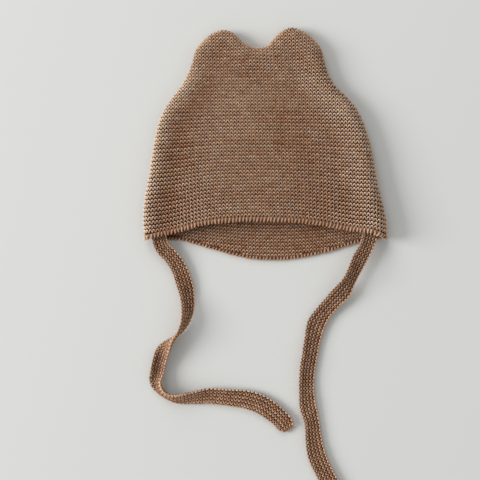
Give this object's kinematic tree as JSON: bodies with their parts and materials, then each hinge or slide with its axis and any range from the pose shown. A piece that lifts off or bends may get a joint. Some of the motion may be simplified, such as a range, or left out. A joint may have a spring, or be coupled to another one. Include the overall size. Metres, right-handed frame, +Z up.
{
  "type": "knitted baby bonnet",
  "caption": "Soft knitted bonnet with rounded ears and flat ties, lying flat with its mouth open, to be worn on a baby's head.",
  "frame": {"origin": "on the surface the bonnet lies on, halfway between the two lower corners of its mouth, on the underside of the back panel", "axes": "+X to the right as seen from above with the ears away, +Y from the mouth to the ears, +Z up from the surface"},
  "size_m": [0.1906, 0.3794, 0.0184],
  "materials": {
    "garter_knit": "light brown wool in garter stitch",
    "ribbed_edge": "light brown wool, ribbed cast-on edge",
    "tie_knit": "light brown wool in narrow garter stitch"
  },
  "bodies": {
    "root": {"front_panel": "garter_knit", "back_panel": "garter_knit", "front_edge_band": "ribbed_edge", "back_edge_band": "ribbed_edge", "tie_left": "tie_knit", "tie_right": "tie_knit"}
  },
  "joints": []
}
